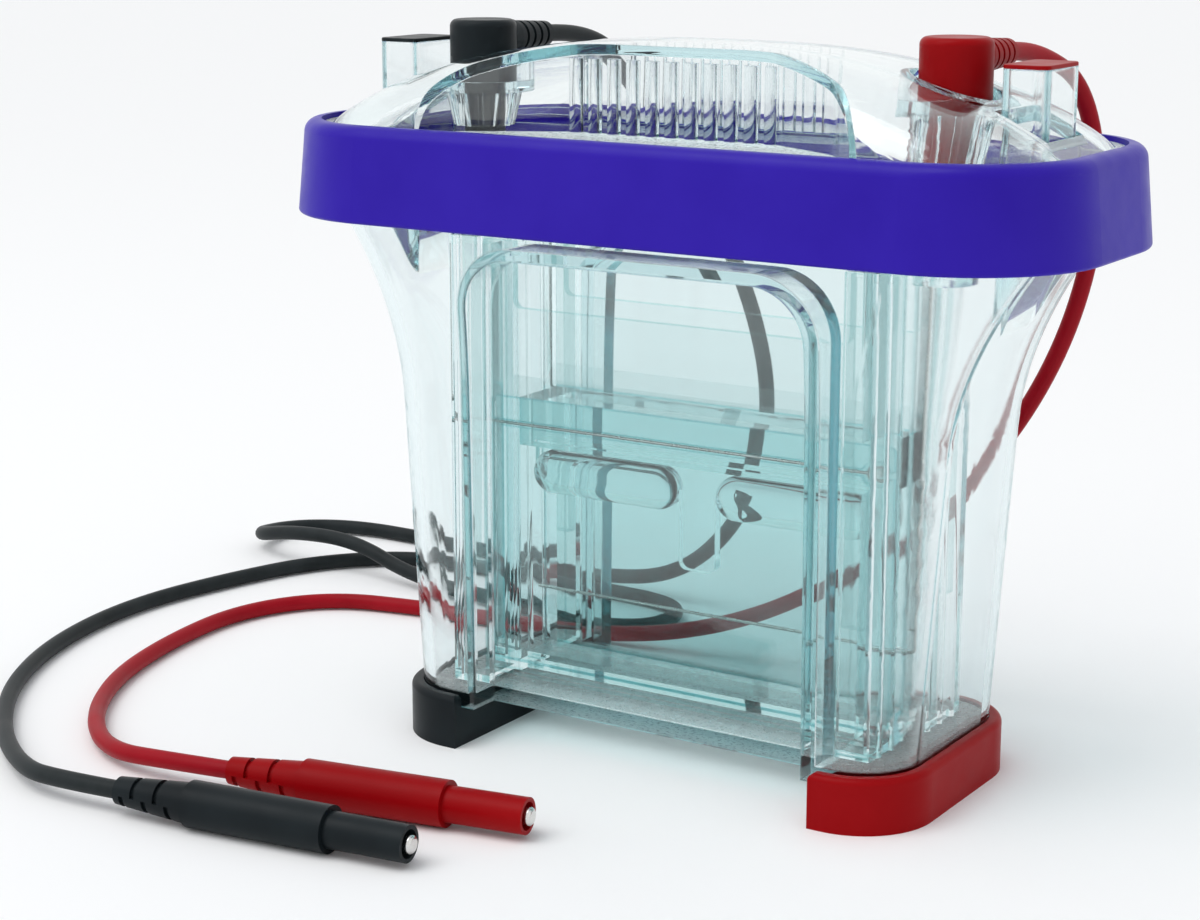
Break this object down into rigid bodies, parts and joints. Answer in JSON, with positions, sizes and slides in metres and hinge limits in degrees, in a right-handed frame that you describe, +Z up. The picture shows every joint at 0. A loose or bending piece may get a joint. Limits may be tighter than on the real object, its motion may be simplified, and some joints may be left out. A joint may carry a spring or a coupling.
{
  "type": "vertical electrophoresis tank",
  "caption": "Clear vertical gel electrophoresis tank with a lift-out electrode core and plate pairs, coloured feet, and a domed lid with a grip and flexible leads.",
  "frame": {"origin": "on the bench, under the middle of the tank", "axes": "+Z up, +X along the long side towards the red foot, front towards -Y"},
  "size_m": [0.2925, 0.2129, 0.1605],
  "materials": {
    "clear_plastic": "clear polished polycarbonate",
    "purple_plastic": "moulded, soft gloss",
    "black_plastic": "moulded, soft gloss",
    "red_plastic": "moulded, soft gloss",
    "brass": "turned",
    "platinum": "drawn wire",
    "pin_metal": "plated",
    "tinted_panel": "tinted acrylic",
    "silicone": "translucent silicone",
    "plate_glass": "plate glass, ground edges",
    "black_lead": "silicone insulation",
    "red_lead": "silicone insulation"
  },
  "bodies": {
    "tank": {"tank": "clear_plastic", "foot_black": "black_plastic", "foot_red": "red_plastic", "post_cap_black": "black_plastic", "post_cap_red": "red_plastic"},
    "module": {"module_core": "clear_plastic", "front_skirt_panel": "tinted_panel", "back_skirt_panel": "tinted_panel", "front_gasket": "silicone", "back_gasket": "silicone", "cathode_wire": "platinum", "cathode_terminal": "pin_metal", "anode_wire": "platinum", "cathode_pin": "pin_metal", "anode_pin": "pin_metal", "black_lead_grip": "black_plastic", "black_lead_sheath": "black_plastic", "black_lead_pin": "pin_metal", "red_lead_grip": "red_plastic", "red_lead_sheath": "red_plastic", "red_lead_pin": "pin_metal"},
    "lid": {"lid_dome": "clear_plastic", "lid_band": "purple_plastic", "black_plug_housing": "black_plastic", "red_plug_housing": "red_plastic", "black_strain_relief": "black_plastic", "red_strain_relief": "red_plastic", "black_contact_sleeve": "brass", "red_contact_sleeve": "brass", "black_cord": "black_lead", "red_cord": "red_lead"},
    "front_cassette": {"front_notched_plate": "plate_glass", "front_spacers": "clear_plastic", "front_outer_plate": "plate_glass"},
    "back_cassette": {"back_notched_plate": "plate_glass", "back_spacers": "clear_plastic", "back_outer_plate": "plate_glass"},
    "front_left_wedge": {"front_left_wedge": "clear_plastic"},
    "front_right_wedge": {"front_right_wedge": "clear_plastic"},
    "back_left_wedge": {"back_left_wedge": "clear_plastic"},
    "back_right_wedge": {"back_right_wedge": "clear_plastic"}
  },
  "joints": [
    {"name": "module_lift", "type": "slide", "parent": "tank", "child": "module", "axis": [0, 0, 1], "range_m": [0, 0.125]},
    {"name": "lid_lift", "type": "slide", "parent": "module", "child": "lid", "axis": [0, 0, 1], "range_m": [0, 0.08], "deforming": ["black_cord", "red_cord"]},
    {"name": "front_cassette_lift", "type": "slide", "parent": "module", "child": "front_cassette", "axis": [0, 0, 1], "range_m": [0, 0.018]},
    {"name": "back_cassette_lift", "type": "slide", "parent": "module", "child": "back_cassette", "axis": [0, 0, 1], "range_m": [0, 0.018]},
    {"name": "front_left_wedge_lift", "type": "slide", "parent": "module", "child": "front_left_wedge", "axis": [0, 0, 1], "range_m": [0, 0.01]},
    {"name": "front_right_wedge_lift", "type": "slide", "parent": "module", "child": "front_right_wedge", "axis": [0, 0, 1], "range_m": [0, 0.01]},
    {"name": "back_left_wedge_lift", "type": "slide", "parent": "module", "child": "back_left_wedge", "axis": [0, 0, 1], "range_m": [0, 0.01]},
    {"name": "back_right_wedge_lift", "type": "slide", "parent": "module", "child": "back_right_wedge", "axis": [0, 0, 1], "range_m": [0, 0.01]}
  ]
}
